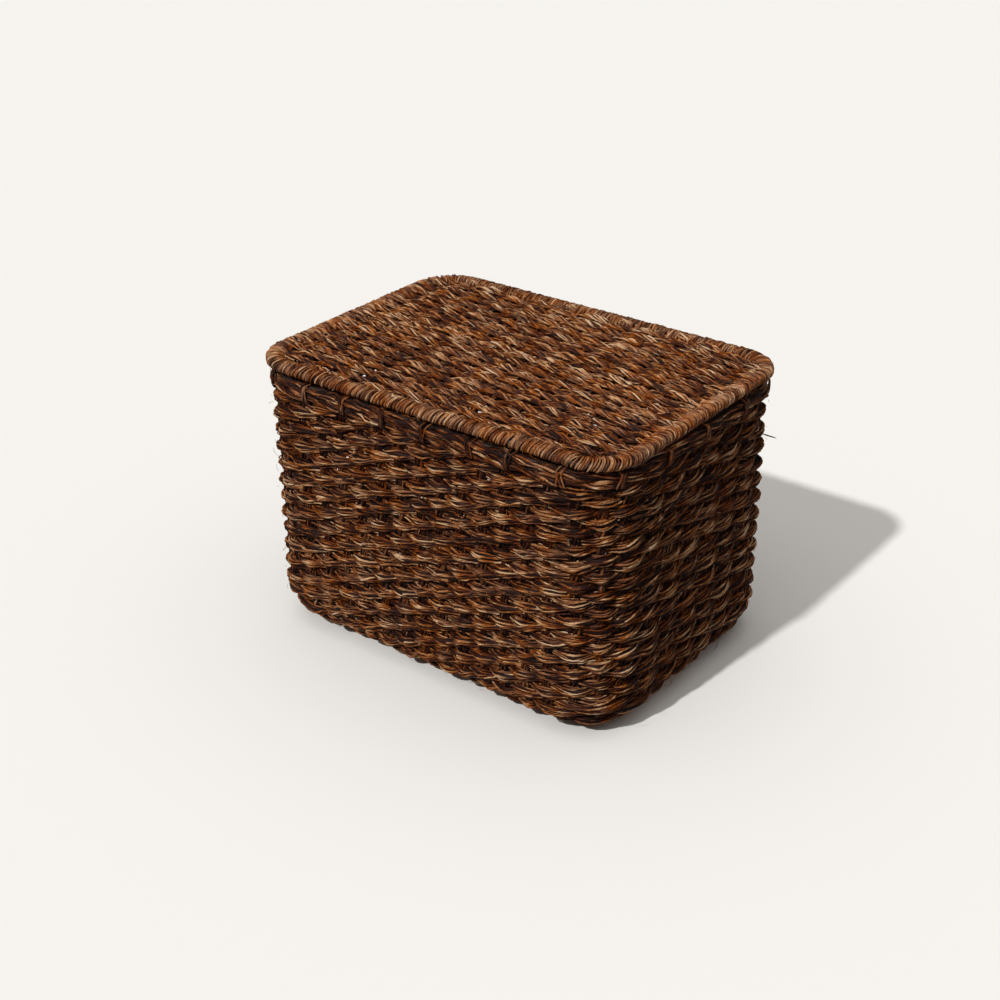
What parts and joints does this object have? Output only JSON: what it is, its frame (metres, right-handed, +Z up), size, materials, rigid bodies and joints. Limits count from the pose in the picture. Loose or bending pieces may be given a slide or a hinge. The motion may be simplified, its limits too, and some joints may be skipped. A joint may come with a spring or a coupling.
{
  "type": "lidded storage basket",
  "caption": "Rectangular storage basket of dark brown plaited plant-fibre rope on a hidden wire frame, with well rounded corners and bottom edge and a flat woven lift-off lid.",
  "frame": {"origin": "middle of the footprint, on the plane that the underside stands on", "axes": "+X along the long side, +Y across the width to the back, +Z up through the lid"},
  "size_m": [0.3826, 0.2788, 0.2583],
  "materials": {
    "body_rope": "dark brown twisted plant-fibre rope, rough, matt",
    "lid_rope": "dark brown twisted plant-fibre rope, rough, matt",
    "binding_strand": "mid brown flat plant-fibre strand, wound close",
    "frame_wire": "dark lacquered steel wire"
  },
  "bodies": {
    "basket": {"base_hoop": "frame_wire", "base_rows_even": "body_rope", "base_rows_odd": "body_rope", "border_lashings": "binding_strand", "border_rope_inner": "body_rope", "border_rope_outer": "body_rope", "corner_post_back_left": "frame_wire", "corner_post_back_right": "frame_wire", "corner_post_front_left": "frame_wire", "corner_post_front_right": "frame_wire", "corner_stakes_back_left": "body_rope", "corner_stakes_back_right": "body_rope", "corner_stakes_front_left": "body_rope", "corner_stakes_front_right": "body_rope", "edge_course_1": "body_rope", "edge_course_2": "body_rope", "edge_course_3": "body_rope", "edge_course_4": "body_rope", "edge_course_5": "body_rope", "front_back_stakes": "body_rope", "left_side_stakes": "body_rope", "right_side_stakes": "body_rope", "rim_hoop": "frame_wire", "side_course_01": "body_rope", "side_course_02": "body_rope", "side_course_03": "body_rope", "side_course_04": "body_rope", "side_course_05": "body_rope", "side_course_06": "body_rope", "side_course_07": "body_rope", "side_course_08": "body_rope", "side_course_09": "body_rope", "side_course_10": "body_rope", "side_course_11": "body_rope", "side_course_12": "body_rope", "side_course_13": "body_rope", "side_course_14": "body_rope", "side_course_15": "body_rope", "side_course_16": "body_rope", "side_course_17": "body_rope", "side_course_18": "body_rope", "side_course_19": "body_rope", "side_course_20": "body_rope", "side_course_21": "body_rope", "side_course_22": "body_rope", "side_course_23": "body_rope", "side_course_24": "body_rope"},
    "lid": {"lid_cross_bar_left": "frame_wire", "lid_cross_bar_right": "frame_wire", "lid_hoop": "frame_wire", "lid_rim_wrap": "binding_strand", "lid_rows_even": "lid_rope", "lid_rows_odd": "lid_rope", "lid_stakes": "lid_rope"}
  },
  "joints": [
    {"name": "lid_lift", "type": "slide", "parent": "basket", "child": "lid", "axis": [0, 0, 1], "range_m": [0, 0.2]}
  ]
}
